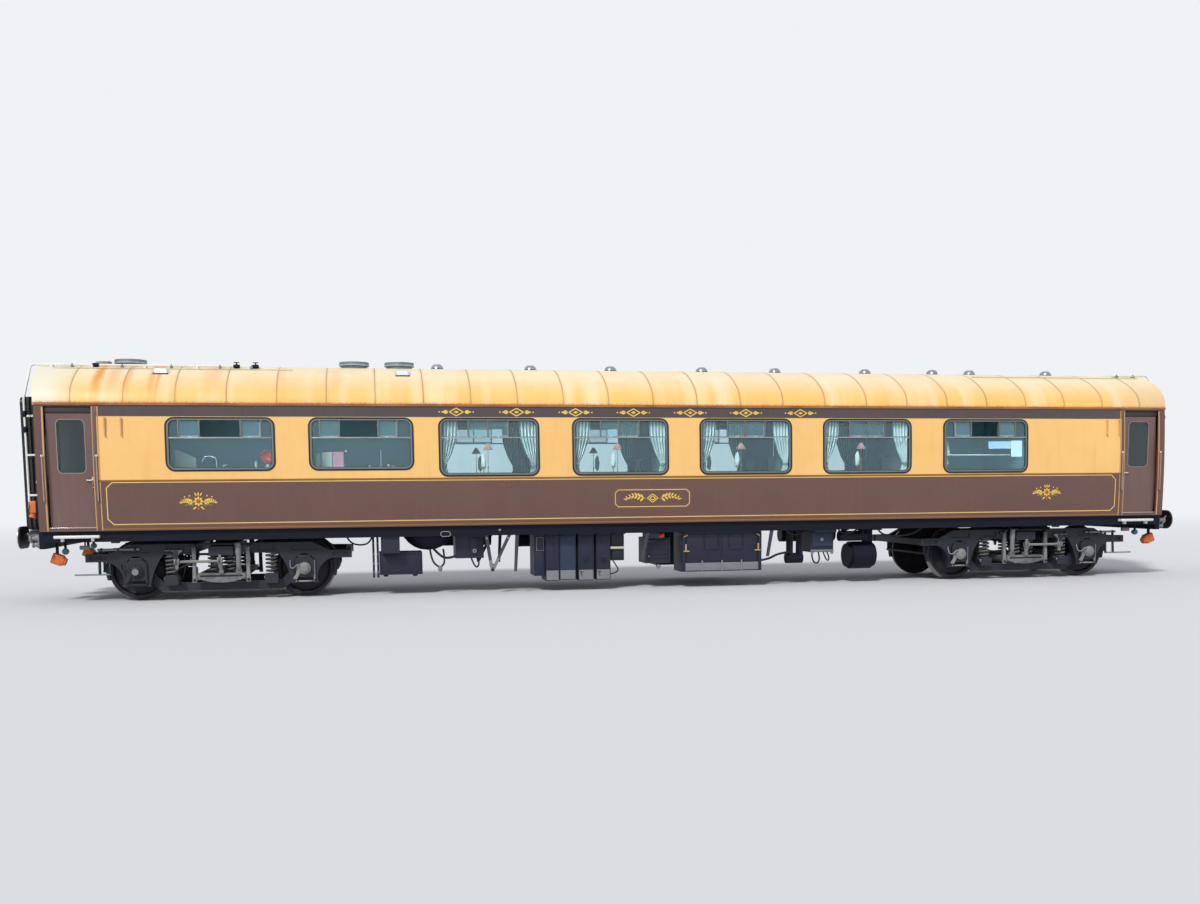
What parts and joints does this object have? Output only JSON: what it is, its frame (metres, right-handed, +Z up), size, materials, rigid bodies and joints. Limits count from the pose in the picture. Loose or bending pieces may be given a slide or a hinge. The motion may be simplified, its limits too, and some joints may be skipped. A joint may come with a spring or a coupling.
{
  "type": "passenger coach",
  "caption": "Long passenger coach with two four-wheeled bogies, wide saloon windows, inset end doors, gangways and underfloor gear.",
  "frame": {"origin": "under the middle of the coach, level with the tips of the wheel flanges", "axes": "+X along the coach towards its lavatory end, +Y across to the side away from the picture's camera, +Z up"},
  "size_m": [20.3826, 2.822, 3.8964],
  "materials": {
    "body_paint": "gloss",
    "roof_paint": "matt, weathered",
    "frame_paint": "matt, dusty",
    "bogie_paint": "matt, dusty",
    "wheel_steel": "rolled tread, dark sides",
    "spring_steel": "dusty",
    "glass": "clear",
    "window_metal": "satin",
    "bellows_rubber": "matt",
    "floor_board": "worn",
    "joinery": "varnished",
    "seat_cloth": "woven",
    "curtain_cloth": "soft folds",
    "lamp_brass": "polished, with a pale shade",
    "kitchen_steel": "satin",
    "white_metal": "satin",
    "box_paint": "matt, dusty",
    "roof_metal": "weathered"
  },
  "bodies": {
    "coach": {"side_wall_near": "body_paint", "side_wall_far": "body_paint", "window_frames": "window_metal", "window_glass": "glass", "roof": "roof_paint", "gutters": "roof_paint", "floor": "floor_board", "end_wall_left": "body_paint", "end_wall_right": "body_paint", "gangway_bellows": "bellows_rubber", "gangway_plates": "frame_paint", "underframe": "frame_paint", "buffers": "frame_paint", "couplers": "bogie_paint", "roof_drums": "roof_metal", "roof_vents": "roof_metal", "roof_pipes": "white_metal", "step_boards": "white_metal", "handrails": "white_metal", "battery_boxes": "box_paint", "equipment_cabinets": "box_paint", "control_boxes": "box_paint", "vessels": "box_paint", "dynamo": "box_paint", "truss_struts": "frame_paint", "partitions": "joinery", "tables": "joinery", "table_lamps": "lamp_brass", "chairs": "seat_cloth", "kitchen_units": "kitchen_steel", "curtains": "curtain_cloth"},
    "door_left_near": {"door_leaf_left_near": "body_paint", "door_glass_left_near": "glass"},
    "door_left_far": {"door_leaf_left_far": "body_paint", "door_glass_left_far": "glass"},
    "end_door_body_left": {"end_door_left": "body_paint", "end_door_glass_left": "glass"},
    "bogie_left": {"bogie_frame_left": "bogie_paint", "bolster_left": "bogie_paint", "spring_plank_left": "bogie_paint", "springs_left": "spring_steel", "equalisers_left": "bogie_paint", "brake_gear_left": "bogie_paint"},
    "wheelset_body_left_1": {"wheelset_left_1": "wheel_steel"},
    "wheelset_body_left_2": {"wheelset_left_2": "wheel_steel"},
    "door_right_near": {"door_leaf_right_near": "body_paint", "door_glass_right_near": "glass"},
    "door_right_far": {"door_leaf_right_far": "body_paint", "door_glass_right_far": "glass"},
    "end_door_body_right": {"end_door_right": "body_paint", "end_door_glass_right": "glass"},
    "bogie_right": {"bogie_frame_right": "bogie_paint", "bolster_right": "bogie_paint", "spring_plank_right": "bogie_paint", "springs_right": "spring_steel", "equalisers_right": "bogie_paint", "brake_gear_right": "bogie_paint"},
    "wheelset_body_right_1": {"wheelset_right_1": "wheel_steel"},
    "wheelset_body_right_2": {"wheelset_right_2": "wheel_steel"}
  },
  "joints": [
    {"name": "door_left_near_hinge", "type": "hinge", "parent": "coach", "child": "door_left_near", "pos_m": [-9.547, -1.247, 1.2286], "axis": [0, 0, 1], "range_deg": [0, 90]},
    {"name": "door_left_far_hinge", "type": "hinge", "parent": "coach", "child": "door_left_far", "pos_m": [-9.547, 1.247, 1.2286], "axis": [0, 0, -1], "range_deg": [0, 90]},
    {"name": "end_door_left_hinge", "type": "hinge", "parent": "coach", "child": "end_door_body_left", "pos_m": [-9.778, 0.3675, 1.2286], "axis": [0, 0, 1], "range_deg": [0, 90]},
    {"name": "bogie_left_swivel", "type": "hinge", "parent": "coach", "child": "bogie_left", "pos_m": [-7.085, 0, 0.9336], "axis": [0, 0, 1], "range_deg": [-4, 4]},
    {"name": "wheelset_left_1_spin", "type": "hinge", "parent": "bogie_left", "child": "wheelset_body_left_1", "pos_m": [-8.3805, 0, 0.4858], "axis": [0, 1, 0], "continuous": true},
    {"name": "wheelset_left_2_spin", "type": "hinge", "parent": "bogie_left", "child": "wheelset_body_left_2", "pos_m": [-5.7895, 0, 0.4858], "axis": [0, 1, 0], "continuous": true},
    {"name": "door_right_near_hinge", "type": "hinge", "parent": "coach", "child": "door_right_near", "pos_m": [9.547, -1.247, 1.2286], "axis": [0, 0, -1], "range_deg": [0, 90]},
    {"name": "door_right_far_hinge", "type": "hinge", "parent": "coach", "child": "door_right_far", "pos_m": [9.547, 1.247, 1.2286], "axis": [0, 0, 1], "range_deg": [0, 90]},
    {"name": "end_door_right_hinge", "type": "hinge", "parent": "coach", "child": "end_door_body_right", "pos_m": [9.778, 0.3675, 1.2286], "axis": [0, 0, -1], "range_deg": [0, 90]},
    {"name": "bogie_right_swivel", "type": "hinge", "parent": "coach", "child": "bogie_right", "pos_m": [7.085, 0, 0.9336], "axis": [0, 0, 1], "range_deg": [-4, 4]},
    {"name": "wheelset_right_1_spin", "type": "hinge", "parent": "bogie_right", "child": "wheelset_body_right_1", "pos_m": [8.3805, 0, 0.4858], "axis": [0, 1, 0], "continuous": true},
    {"name": "wheelset_right_2_spin", "type": "hinge", "parent": "bogie_right", "child": "wheelset_body_right_2", "pos_m": [5.7895, 0, 0.4858], "axis": [0, 1, 0], "continuous": true}
  ]
}
